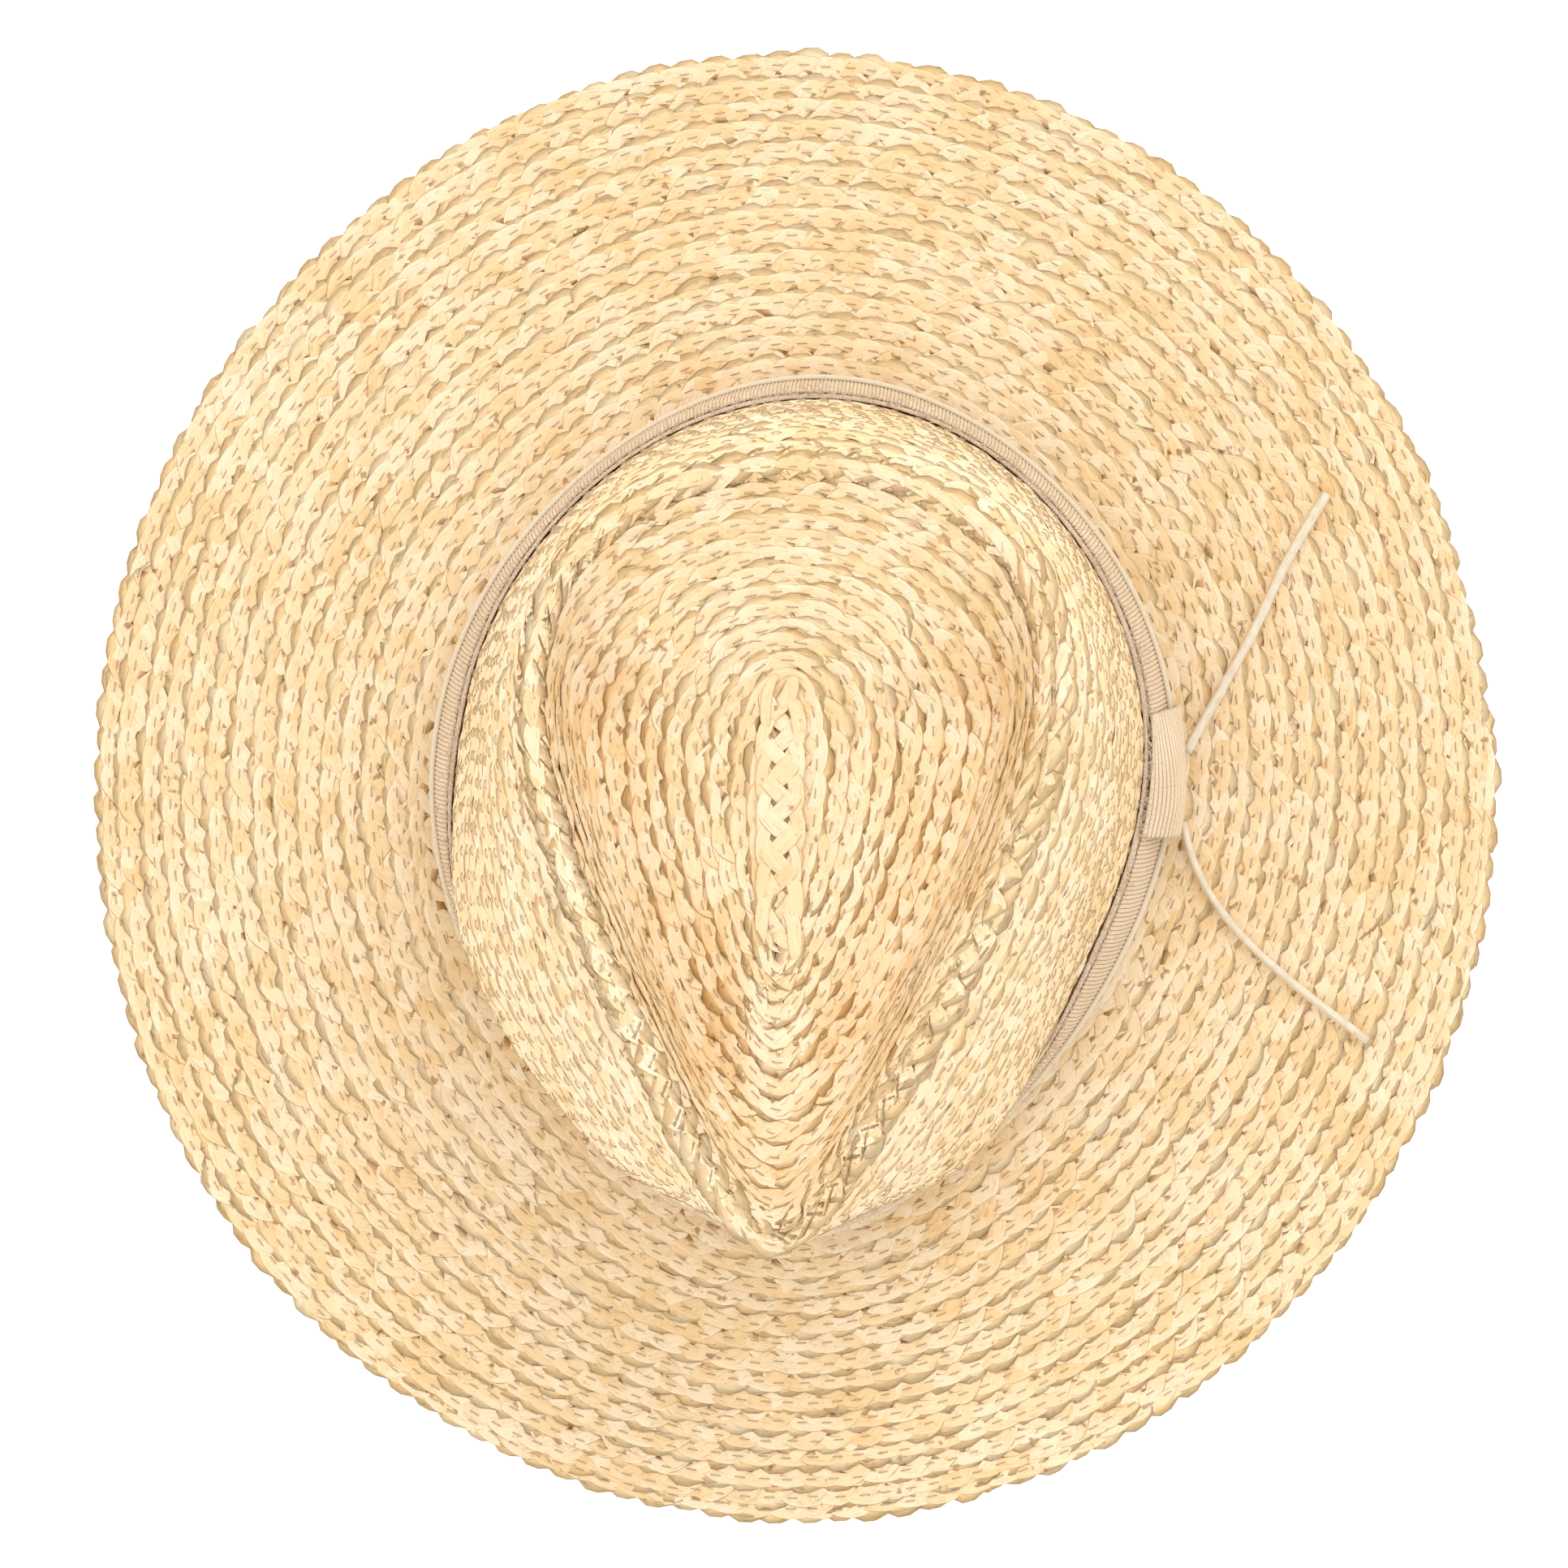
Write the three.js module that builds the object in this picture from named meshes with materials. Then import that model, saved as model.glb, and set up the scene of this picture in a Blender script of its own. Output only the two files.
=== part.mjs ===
// A wide-brimmed fedora of sewn raffia plait: teardrop crown with a pinched front, nearly flat brim,
// frayed canvas strip, grosgrain ribbon and keeper, and a thin lace with two free ends.
//
// Millimetres, +Z up. The wearer looks along -Y, and the wearer's left is +X. The origin is the middle of
// the brim's outline, on the plane that the brim rests on.
//
// The plait's middle surface is a family of closed curves, one inside the other: seed, dent, valley,
// ridge, foot of the wall, edge of the brim. An angle (theta, from +X towards the back) names a place on
// each curve, and the meridian at that angle runs through the curves from the seed to the foot.
import * as THREE from 'three';

const TURN = 2 * Math.PI;
const ANGLE_STEPS = 64;
const GAP = 0.3; // between pieces that lie against each other

// The plait's rows overlap to about this thickness.
const PLAIT = 3.0;
const HALF_PLAIT = PLAIT / 2;

// The crown's long axis is turned this much (radians) from the Y axis, as it is on a hand-blocked hat.
const AXIS_TURN = 0.035;

// Closed curves seen from above: y = midY + halfY * sin, x = midX + AXIS_TURN * y + width * cos, where
// width = w0 + w1 * sin + w2 * sin^2 narrows the curve towards the front.
const SEED = { midX: -3.3, midY: -6.5, halfY: 26.4, w0: 2.4, w1: 0, w2: 0 };
const VALLEY = { midX: -1.9, midY: -16, halfY: 68, w0: 37, w1: 30, w2: 11 };
const RIDGE = { midX: -1.9, midY: -14.4, halfY: 88.0, w0: 51, w1: 33, w2: 3 };
const FOOT = { midX: 1.8, midY: -4.4, halfY: 100.0, w0: 85.8, w1: 10, w2: -16 };
const EDGE = { halfX: 168.7, halfY: 176.5 };

// Heights of the middle surface.
const SEED_Z = 89;
const VALLEY_Z = { side: 85, backRise: 13, frontRise: 19 };
const RIDGE_Z = { side: 107, backDrop: 2, frontRise: 10.5 };
const HEAD_LINE_Z = 7; // where the wall turns out into the brim
const BULGE = 4; // how far the front of the wall bulges out above the band
const REST_Z = HALF_PLAIT; // the brim's flat ring, so that its underside is at z = 0

// The brim: a fillet out of the wall, a flat ring to rest on, then a slow rise to the edge.
const FILLET = 6;
const FLAT_REACH = 24;
const EDGE_RISE = { mean: 5.6, backMore: 2.5 };
const RISE_POWER = 1.7;

// The bands and the sweatband: heights on the wall, and layers outwards from the plait's middle surface.
const UNDERLAY = { low: 10, high: 37, thick: 0.6 };
const RIBBON = { low: 9, high: 33, thick: 0.6 };
const LACE = { wide: 2.4, thick: 1.6 };
const LACE_LOW = 9.4;
const KEEPER = { low: 8, high: 35.5, thick: 0.6, from: -3.0, to: 13.6 }; // from, to in degrees
const TACK = { low: 19, high: 22, half: 0.25, at: [40, 110, 180, 250] }; // at in degrees
const SWEATBAND = { low: 8.5, high: 36, thick: 0.8 };
const JOIN_TAPE = { low: 11, high: 31, thick: 0.7, from: 85.5, to: 94.5 }; // from, to in degrees

const UNDERLAY_IN = HALF_PLAIT + GAP;
const RIBBON_IN = UNDERLAY_IN + UNDERLAY.thick + GAP;
const RIBBON_OUT = RIBBON_IN + RIBBON.thick;
const LACE_IN = RIBBON_OUT + GAP;
const LACE_OUT = LACE_IN + LACE.thick;
const KEEPER_IN = LACE_OUT + GAP;
const SWEATBAND_OUT = -HALF_PLAIT - GAP;
const SWEATBAND_IN = SWEATBAND_OUT - SWEATBAND.thick;
const JOIN_TAPE_OUT = SWEATBAND_IN - GAP;

// The lace's free ends leave the keeper and lie on the brim. Middle of the lace, point by point.
const LACE_TAIL_BACK = [
  [94.6, 8.6, 5.2], [97.8, 14.2, 4.5], [101.6, 20.8, 4.3], [105.9, 28.6, 4.3], [109.7, 35.4, 4.4],
  [113.1, 42.3, 4.6], [116.6, 50.0, 5.0], [120.3, 57.1, 5.6], [124.4, 64.2, 6.3], [128.5, 71.1, 7.0],
];
const LACE_TAIL_FRONT = [
  [93.7, -8.4, 5.3], [95.5, -15.6, 4.6], [98.8, -23.2, 4.3], [104.4, -31.7, 4.3], [111.2, -39.2, 4.5],
  [116.2, -43.8, 4.7], [121.6, -48.4, 5.1], [126.4, -52.2, 5.6], [130.9, -55.7, 6.1], [138.5, -61.4, 6.9],
];

const COLOURS = {
  raffia: { color: 0xf2d9a8, roughness: 0.7 },
  ribbon: { color: 0xd9c3a0, roughness: 0.85 },
  canvas: { color: 0xcdbda6, roughness: 0.95 },
  lace: { color: 0xeadfc8, roughness: 0.75 },
  thread: { color: 0xefe6d2, roughness: 0.8 },
  sweatband: { color: 0xe6dac2, roughness: 0.9 },
};

const ease = THREE.MathUtils.smoothstep; // ease(x, from, to)
const lerp = THREE.MathUtils.lerp;
const radians = THREE.MathUtils.degToRad;

// ---------------------------------------------------------------- the plait's middle surface

function outline(curve, theta) {
  const s = Math.sin(theta);
  const y = curve.midY + curve.halfY * s;
  const width = curve.w0 + curve.w1 * s + curve.w2 * s * s;
  return new THREE.Vector2(curve.midX + AXIS_TURN * y + width * Math.cos(theta), y);
}

function edgeOutline(theta) {
  return new THREE.Vector2(EDGE.halfX * Math.cos(theta), EDGE.halfY * Math.sin(theta));
}

function at(flat, z) {
  return new THREE.Vector3(flat.x, flat.y, z);
}

// How much the wall bulges over the band: not at the back, fully at the front, and sooner on the right
// side (negative X) than on the left. It is nothing again at the front tip.
function bulgeShare(theta) {
  const s = Math.sin(theta);
  const from = 0.28 * Math.cos(theta);
  return ease(-s, from, from + 0.7) * (1 - ease(-s, 0.78, 1));
}

// How far out from the ridge to the foot the wall has come when it is the fraction q of the way down:
// a quick rounded shoulder and then an even slope, or a fuller curve where the wall bulges.
function wallReach(theta, q) {
  const slope = 0.6 * q + 0.4 * (1 - (1 - q) ** 14);
  const full = 1 - (1 - q) ** 4;
  return lerp(slope, full, bulgeShare(theta));
}

function wallStation(theta, ridge, foot, ridgeZ, q) {
  const bulge = BULGE * bulgeShare(theta) * Math.exp(-(((q - 0.45) / 0.17) ** 2));
  const flat = ridge.clone().lerp(foot, wallReach(theta, q));
  flat.add(new THREE.Vector2(Math.cos(theta), Math.sin(theta)).multiplyScalar(bulge));
  return at(flat, lerp(ridgeZ, HEAD_LINE_Z, q));
}

// The meridian's points from the seed to the foot of the wall.
function stations(theta) {
  const s = Math.sin(theta);
  const back = ease(s, 0.45, 0.95);
  const seed = outline(SEED, theta);
  const valley = outline(VALLEY, theta);
  const ridge = outline(RIDGE, theta);
  const foot = outline(FOOT, theta);
  const valleyZ = VALLEY_Z.side + VALLEY_Z.backRise * back + VALLEY_Z.frontRise * ease(-s, 0.45, 1);
  const ridgeZ = RIDGE_Z.side - RIDGE_Z.backDrop * ease(s, 0.4, 1) + RIDGE_Z.frontRise * ease(-s, 0.1, 1);
  const climb = (inset, drop) => at(ridge.clone().lerp(valley, inset), lerp(ridgeZ, valleyZ, drop));
  const wall = [0.035, 0.1, 0.25, 0.5, 0.75, 1].map((q) => wallStation(theta, ridge, foot, ridgeZ, q));
  return [
    at(seed, SEED_Z),
    at(seed.clone().lerp(valley, 0.5), lerp(SEED_Z, valleyZ, 0.5) + 0.8),
    at(valley, valleyZ),
    climb(0.62, lerp(0.68, 0.62, back)),
    climb(0.3, lerp(0.18, 0.3, back)),
    at(ridge, ridgeZ),
    ...wall,
  ];
}

const RIDGE_STATION = 5;
const LAST_STATION = 11;

function meridian(theta) {
  return new THREE.CatmullRomCurve3(stations(theta), false, 'centripetal');
}

// A point on the crown's middle surface, or the given distance outside it. Place is counted in stations.
function crownPoint(theta, place, outside = 0) {
  const step = 1e-3;
  const along = (angle, t) => meridian(angle).getPoint(THREE.MathUtils.clamp(t, 0, 1));
  const t = place / LAST_STATION;
  const point = along(theta, t);
  if (outside === 0) return point;
  const round = along(theta + step, t).sub(along(theta - step, t));
  const down = along(theta, t + step).sub(along(theta, t - step));
  return point.addScaledVector(down.cross(round).normalize(), outside);
}

// The place on the wall's meridian that is at the given height.
function placeAtHeight(theta, z) {
  const curve = meridian(theta);
  let above = RIDGE_STATION;
  let below = LAST_STATION;
  for (let i = 0; i < 30; i += 1) {
    const middle = (above + below) / 2;
    if (curve.getPoint(middle / LAST_STATION).z > z) above = middle;
    else below = middle;
  }
  return (above + below) / 2;
}

function wallPoint(theta, z, outside) {
  return crownPoint(theta, placeAtHeight(theta, z), outside);
}

// A point of the brim: part 0 to 1 is the fillet out of the wall, part 1 to 2 the rest, out to the edge.
function brimMiddle(theta, part) {
  const foot = outline(FOOT, theta);
  const out = edgeOutline(theta).sub(foot);
  const width = out.length();
  out.normalize();
  if (part < 1) {
    const lean = 0.8; // the wall leans out this much where the fillet begins
    const reach = 2 * part * (1 - part) * lean + part * part * FILLET;
    return at(foot.addScaledVector(out, reach), REST_Z + (HEAD_LINE_Z - REST_Z) * (1 - part) ** 2);
  }
  const reach = lerp(FILLET, width, part - 1);
  const rise = EDGE_RISE.mean + EDGE_RISE.backMore * Math.sin(theta);
  const climbed = Math.max(0, (reach - FLAT_REACH) / (width - FLAT_REACH));
  return at(foot.addScaledVector(out, reach), REST_Z + rise * climbed ** RISE_POWER);
}

function brimPoint(theta, part, outside) {
  const point = brimMiddle(theta, part);
  if (point.z === REST_Z) return point.add(new THREE.Vector3(0, 0, outside));
  const step = 1e-3;
  const low = Math.max(0, part - step);
  const high = Math.min(2, part + step);
  const round = brimMiddle(theta + step, part).sub(brimMiddle(theta - step, part));
  const down = brimMiddle(theta, high).sub(brimMiddle(theta, low));
  return point.addScaledVector(down.cross(round).normalize(), outside);
}

// The part of the brim whose reach from the foot is the given distance.
function partAtReach(theta, reach) {
  const width = edgeOutline(theta).sub(outline(FOOT, theta)).length();
  return 1 + (reach - FILLET) / (width - FILLET);
}

// ---------------------------------------------------------------- solids

function ring(pointAt) {
  return Array.from({ length: ANGLE_STEPS }, (_, i) => pointAt((TURN * i) / ANGLE_STEPS));
}

function geometryOf(points, faces) {
  const geometry = new THREE.BufferGeometry().setFromPoints(points);
  geometry.setIndex(faces);
  geometry.computeVertexNormals();
  return geometry;
}

function middleOf(points) {
  return points.reduce((sum, p) => sum.add(p), new THREE.Vector3()).divideScalar(points.length);
}

// Joins rings of points, each to the next: the last to the first, or each end to a middle point of its own.
function loft(rings, capped = false) {
  const points = rings.flat();
  const size = rings[0].length;
  const faces = [];
  const joined = capped ? rings.length - 1 : rings.length;
  for (let i = 0; i < joined; i += 1) {
    const here = i * size;
    const next = ((i + 1) % rings.length) * size;
    for (let j = 0; j < size; j += 1) {
      const k = (j + 1) % size;
      faces.push(here + j, next + j, next + k, here + j, next + k, here + k);
    }
  }
  if (capped) {
    const last = (rings.length - 1) * size;
    const top = points.push(middleOf(rings[0])) - 1;
    const bottom = points.push(middleOf(rings.at(-1))) - 1;
    for (let j = 0; j < size; j += 1) {
      const k = (j + 1) % size;
      faces.push(top, j, k, bottom, last + k, last + j);
    }
  }
  return geometryOf(points, faces);
}

// Joins equal closed sections in a row and closes both ends. flat holds the section's plane coordinates.
function sweep(sections, flat) {
  const points = sections.flat();
  const size = flat.length;
  const faces = [];
  for (let i = 0; i + 1 < sections.length; i += 1) {
    for (let j = 0; j < size; j += 1) {
      const k = (j + 1) % size;
      const here = i * size;
      const next = here + size;
      faces.push(here + j, next + j, next + k, here + j, next + k, here + k);
    }
  }
  const last = (sections.length - 1) * size;
  for (const [a, b, c] of THREE.ShapeUtils.triangulateShape(flat, [])) {
    faces.push(a, b, c, last + a, last + c, last + b);
  }
  return geometryOf(points, faces);
}

function crownGeometry() {
  const places = []; // two rows of points a station, and four where the wall bulges and the bands lie
  for (let place = 0; place <= LAST_STATION; place += place < LAST_STATION - 3 ? 0.5 : 0.25) places.push(place);
  const lastStepHeight = (RIDGE_Z.side - HEAD_LINE_Z) / 4; // the wall's lowest quarter
  places[places.length - 1] -= GAP / lastStepHeight; // stops just above the brim's fillet
  const side = (outside) => places.map((place) => ring((theta) => crownPoint(theta, place, outside)));
  return loft([...side(HALF_PLAIT), ...side(-HALF_PLAIT).reverse()], true);
}

function brimGeometry() {
  const outerSteps = [0.25, 0.5, 0.75, 1];
  const parts = (theta) => {
    const flatEnd = partAtReach(theta, FLAT_REACH);
    return [0, 0.35, 0.7, 1, flatEnd, ...outerSteps.map((step) => lerp(flatEnd, 2, step))];
  };
  const count = parts(0).length;
  const side = (outside) => Array.from({ length: count }, (_, i) =>
    ring((theta) => brimPoint(theta, parts(theta)[i], outside)));
  return loft([...side(HALF_PLAIT), ...side(-HALF_PLAIT).reverse()]);
}

// A closed band round the wall, between two heights and two distances from the middle surface.
function bandGeometry(low, high, inner, outer, steps = 4) {
  const edge = (i, outside) => ring((theta) => wallPoint(theta, lerp(high, low, i / steps), outside));
  const side = (outside) => Array.from({ length: steps + 1 }, (_, i) => edge(i, outside));
  return loft([...side(outer), ...side(inner).reverse()]);
}

// A piece of the wall's surroundings between two angles. The section lists (outside, height) pairs.
function stripGeometry(fromDegrees, toDegrees, steps, section) {
  const flat = section.map(([outside, z]) => new THREE.Vector2(outside, z));
  const sections = Array.from({ length: steps + 1 }, (_, i) => {
    const theta = radians(lerp(fromDegrees, toDegrees, i / steps));
    return section.map(([outside, z]) => wallPoint(theta, z, outside));
  });
  return sweep(sections, flat);
}

// The keeper is folded round the ribbon and the lace, with a lip over each edge.
function keeperGeometry() {
  const { low, high, thick, from, to } = KEEPER;
  const out = KEEPER_IN + thick;
  const lipEnd = RIBBON_IN;
  const topIn = RIBBON_OUT + GAP;
  const section = [
    [out, low], [out, low + 5], [topIn + thick, high], [lipEnd, high], [lipEnd, high - thick],
    [topIn, high - thick], [KEEPER_IN, low + 5], [KEEPER_IN, low + thick], [LACE_IN, low + thick],
    [LACE_IN, low],
  ];
  return stripGeometry(from, to, 4, section);
}

// A lace's path, whose frames keep the lace's flat side up.
class FlatPath extends THREE.CatmullRomCurve3 {
  computeFrenetFrames(steps) {
    const up = new THREE.Vector3(0, 0, 1);
    const tangents = Array.from({ length: steps + 1 }, (_, i) => this.getTangentAt(i / steps));
    const normals = tangents.map((tangent) => up.clone().cross(tangent).normalize());
    const binormals = tangents.map((tangent, i) => tangent.clone().cross(normals[i]));
    return { tangents, normals, binormals };
  }
}

function laceTailGeometry(route) {
  const path = new FlatPath(route.map((point) => new THREE.Vector3(...point)), false, 'centripetal');
  const x = LACE.wide / 2;
  const y = LACE.thick / 2;
  const bevel = 0.3;
  const section = new THREE.Shape([
    new THREE.Vector2(x, bevel - y), new THREE.Vector2(x, y - bevel), new THREE.Vector2(x - bevel, y),
    new THREE.Vector2(bevel - x, y), new THREE.Vector2(-x, y - bevel), new THREE.Vector2(-x, bevel - y),
    new THREE.Vector2(bevel - x, -y), new THREE.Vector2(x - bevel, -y),
  ]);
  return new THREE.ExtrudeGeometry(section, { steps: 14, extrudePath: path });
}

function tackGeometry(degrees) {
  const { low, high, half } = TACK;
  const inner = RIBBON_OUT + GAP;
  const spread = THREE.MathUtils.radToDeg(half / FOOT.w0);
  const section = [[inner + 2 * half, low], [inner + 2 * half, high], [inner, high], [inner, low]];
  return stripGeometry(degrees - spread, degrees + spread, 1, section);
}

// ---------------------------------------------------------------- the hat

const hat = new THREE.Group();

function add(name, geometry, look) {
  const mesh = new THREE.Mesh(geometry, new THREE.MeshStandardMaterial({ ...COLOURS[look], metalness: 0 }));
  mesh.name = name;
  hat.add(mesh);
}

add('crown', crownGeometry(), 'raffia');
add('brim', brimGeometry(), 'raffia');
add('sweatband', bandGeometry(
  SWEATBAND.low, SWEATBAND.high, SWEATBAND_IN, SWEATBAND_OUT, 3), 'sweatband');
add('sweatband_join_tape', stripGeometry(JOIN_TAPE.from, JOIN_TAPE.to, 2, [
  [JOIN_TAPE_OUT, JOIN_TAPE.low], [JOIN_TAPE_OUT, JOIN_TAPE.high],
  [JOIN_TAPE_OUT - JOIN_TAPE.thick, JOIN_TAPE.high], [JOIN_TAPE_OUT - JOIN_TAPE.thick, JOIN_TAPE.low],
]), 'sweatband');
add('band_underlay', bandGeometry(
  UNDERLAY.low, UNDERLAY.high, UNDERLAY_IN, UNDERLAY_IN + UNDERLAY.thick), 'canvas');
add('band_ribbon', bandGeometry(RIBBON.low, RIBBON.high, RIBBON_IN, RIBBON_OUT), 'ribbon');
add('band_keeper', keeperGeometry(), 'ribbon');
add('lace_loop', bandGeometry(LACE_LOW, LACE_LOW + LACE.wide, LACE_IN, LACE_OUT, 1), 'lace');
add('lace_tail_back', laceTailGeometry(LACE_TAIL_BACK), 'lace');
add('lace_tail_front', laceTailGeometry(LACE_TAIL_FRONT), 'lace');
TACK.at.forEach((degrees, i) => add(`band_tack_${i + 1}`, tackGeometry(degrees), 'thread'));

export default hat;
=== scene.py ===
"""Looks of a wide-brimmed fedora sewn from a spiral of raffia plait.

Sizes are in millimetres unless a name says otherwise; MM turns them into Blender's metres. The frame is the
CAD model's: +Z up, the wearer looks along -Y, and the brim rests on z = 0.
"""
import math

import bpy
import numpy as np
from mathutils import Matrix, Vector


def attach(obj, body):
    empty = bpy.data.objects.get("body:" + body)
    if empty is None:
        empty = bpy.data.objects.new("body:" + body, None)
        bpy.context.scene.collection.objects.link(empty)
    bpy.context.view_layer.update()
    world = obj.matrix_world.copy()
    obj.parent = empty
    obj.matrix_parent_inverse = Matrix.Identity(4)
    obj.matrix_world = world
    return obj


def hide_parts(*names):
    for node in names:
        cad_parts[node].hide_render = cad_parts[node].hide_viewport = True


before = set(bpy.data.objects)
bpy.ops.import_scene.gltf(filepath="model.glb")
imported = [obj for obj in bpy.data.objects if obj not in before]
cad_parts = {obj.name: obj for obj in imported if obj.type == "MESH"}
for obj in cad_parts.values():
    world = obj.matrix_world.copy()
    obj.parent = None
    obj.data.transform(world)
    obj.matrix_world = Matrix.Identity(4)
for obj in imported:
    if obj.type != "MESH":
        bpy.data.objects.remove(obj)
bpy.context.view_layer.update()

MM = 0.001
TURN = 2 * math.pi
RANDOM_SEED = 4

# -------------------------------- driving sizes

# The plait's middle surface runs through closed curves: seed, valley, ridge, foot, edge. Each is
# (mid x, mid y, half length, w0, w1, w2), where the half width is w0 + w1 sin + w2 sin^2.
AXIS_TURN = 0.035  # the crown's long axis is turned this much, in radians
SEED = (-3.3, -6.5, 26.4, 2.4, 0, 0)
VALLEY = (-1.9, -16, 68, 37, 30, 11)
RIDGE = (-1.9, -14.4, 88.0, 51, 33, 3)
FOOT = (1.8, -4.4, 100.0, 85.8, 10, -16)
EDGE_HALF = (168.7, 176.5)
SEED_Z = 89
VALLEY_Z = dict(side=85, back_rise=13, front_rise=19)
RIDGE_Z = dict(side=107, back_drop=2, front_rise=10.5)
HEAD_LINE_Z = 7
BULGE = 4  # how far the front of the wall bulges out above the band
REST_Z = 1.5
FILLET = 6
FLAT_REACH = 24
EDGE_RISE = 5.6
EDGE_RISE_BACK = 2.5
RISE_POWER = 1.7
WALL_STEPS = (0.035, 0.1, 0.25, 0.5, 0.75, 1)
RIDGE_STATION = 5

# The plait: five flat strands, over one and under one, in rows that lie on each other like shingles.
TOP_ROWS = 13.5
WALL_ROWS = 22.0
BRIM_ROWS = 16.3
ROWS = TOP_ROWS + WALL_ROWS + BRIM_ROWS
RIDGE_WIDER = 0.42  # by this share the rows on the ridge are wider than the rest
WALL_PIECES = 6  # the wall's plait is kept in this many rings
BRIM_PIECES = 7  # and the brim's in this many sectors
STRANDS = 5
LEAF_PITCH = 7.3  # along the row, from one leaf of a column to the next
SWING = 3.75  # how far a strand's middle goes each side of the row's middle
LIFT = 0.13  # how far it rises and dips where strands cross
LEAF_WIDE = 3.25  # at the edges, where strands fold round
MIDDLE_WIDE = 4.5  # between the edges, where they lie flat
LEAF_THICK = 0.32
SHINGLE = 0.11  # slope of a row across its width: its outer edge lies over the next row
SHOWN_MIDDLE = 2.5  # the middle of a row's uncovered part, outward from the row's middle
CENTRE_LINE = ((-3.6, 22.5), (-3.9, -35.0))  # the plait's first straight stretch, on top of the crown

# Where on its swing from edge to edge (0 at the row's middle, 90 at its outer edge) a strand passes over:
# at the outer edge, outside the middle, inside the middle, and at the inner edge. It passes under
# half way between, except round the edges, where the next crossing is twice as far. All in degrees.
OVER_AT = (54, 162, -18, 234)
UNDER_AT = (18, 126, 198, -54)
CROSSING = 36
EDGE_AT = 54  # the crossings at the edges are here and half a turn on

# A leaf's cross-section, in half widths and half thicknesses, and how many times it is repeated.
SECTION = np.array([(-1, -0.3), (-0.9, 0.55), (-0.5, 0.95), (0.05, 1), (0.6, 0.9), (0.92, 0.5), (1, -0.3)])
STATIONS = 9
UNDER_SECTION = np.array([(-1, 0.2), (0, 1), (1, 0.2), (0.6, -1), (-0.6, -1)])
UNDER_STATIONS = 5
LEAF_EDGE = 1.35  # what the raffia's material reads across a leaf at its edge

# The bands, as heights on the wall and distances outside the middle surface.
UNDERLAY = dict(low=10, high=37, inner=1.8, outer=2.4)
RIBBON = dict(low=9, high=33, inner=2.7, outer=3.3)
LACE_WIDE = 2.4
LACE_THICK = 1.6
LACE_LOW = 9.4
LACE_IN = 3.6
KEEPER = dict(low=8, high=35.5, inner=5.5, thick=0.6, start=-3.0, end=13.6)  # start, end in degrees
KEEPER_SAG = 1.1  # how far its ribs sag in the middle
KEEPER_RIB = 1.9  # from one rib to the next
BAND_ROUND = 584.0  # the ribbon's way round the hat at its middle height
RIBS = 580
RIB = BAND_ROUND / RIBS
SWEATBAND = dict(low=8.5, high=36, outer=-1.8, inner=-2.6)
JOIN_TAPE = dict(low=11, high=31, outer=-2.9, inner=-3.6, start=85.5, end=94.5)
TACK_AT = (40, 110, 180, 250)
TACK_LOW = 19
TACK_HIGH = 22

# The lace's free ends: how wide each is, how far it is turned on its side (radians), and the middle of
# the lace, point by point, as the CAD model lays it.
TAIL_WIDE = dict(lace_tail_back=2.2, lace_tail_front=1.9)
TAIL_LIE = dict(lace_tail_back=0.25, lace_tail_front=1.1)
LACE_TAILS = {
    "lace_tail_back": [
        (94.6, 8.6, 5.2), (97.8, 14.2, 4.5), (101.6, 20.8, 4.3), (105.9, 28.6, 4.3), (109.7, 35.4, 4.4),
        (113.1, 42.3, 4.6), (116.6, 50.0, 5.0), (120.3, 57.1, 5.6), (124.4, 64.2, 6.3), (128.5, 71.1, 7.0),
    ],
    "lace_tail_front": [
        (93.7, -8.4, 5.3), (95.5, -15.6, 4.6), (98.8, -23.2, 4.3), (104.4, -31.7, 4.3), (111.2, -39.2, 4.5),
        (116.2, -43.8, 4.7), (121.6, -48.4, 5.1), (126.4, -52.2, 5.6), (130.9, -55.7, 6.1),
        (138.5, -61.4, 6.9),
    ],
}

rng = np.random.default_rng(RANDOM_SEED)


# -------------------------------- the plait's middle surface

def ease(x, low, high):
    t = np.clip((x - low) / (high - low), 0, 1)
    return t * t * (3 - 2 * t)


def outline(curve, theta):
    mid_x, mid_y, half_y, w0, w1, w2 = curve
    s = np.sin(theta)
    y = mid_y + half_y * s
    width = w0 + w1 * s + w2 * s * s
    return np.stack([mid_x + AXIS_TURN * y + width * np.cos(theta), y], axis=-1)


def edge_outline(theta):
    return np.stack([EDGE_HALF[0] * np.cos(theta), EDGE_HALF[1] * np.sin(theta)], axis=-1)


def mix(a, b, t):
    return a + (b - a) * t


def unit(v):
    return v / np.maximum(np.linalg.norm(v, axis=-1, keepdims=True), 1e-9)


def at(flat, z):
    return np.concatenate([flat, (z * np.ones(len(flat)))[:, None]], axis=1)


def between(table, theta, place):
    """Values between a table's rows, at place, and between its columns, which go once round the hat."""
    a = (theta / TURN % 1) * table.shape[1]
    r = np.clip(place, 0, len(table) - 1.001)
    a0, r0 = a.astype(int), r.astype(int)
    fa, fr = a - a0, r - r0
    if table.ndim == 3:
        fa, fr = fa[..., None], fr[..., None]
    a0, a1 = a0 % table.shape[1], (a0 + 1) % table.shape[1]
    low = table[r0, a0] * (1 - fa) + table[r0, a1] * fa
    high = table[r0 + 1, a0] * (1 - fa) + table[r0 + 1, a1] * fa
    return low * (1 - fr) + high * fr


def bulge_share(theta):
    """How much the wall bulges over the band: most at the front, and sooner on the wearer's right."""
    s = np.sin(theta)
    low = 0.28 * np.cos(theta)
    return ease(-s, low, low + 0.7) * (1 - ease(-s, 0.78, 1))


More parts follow.
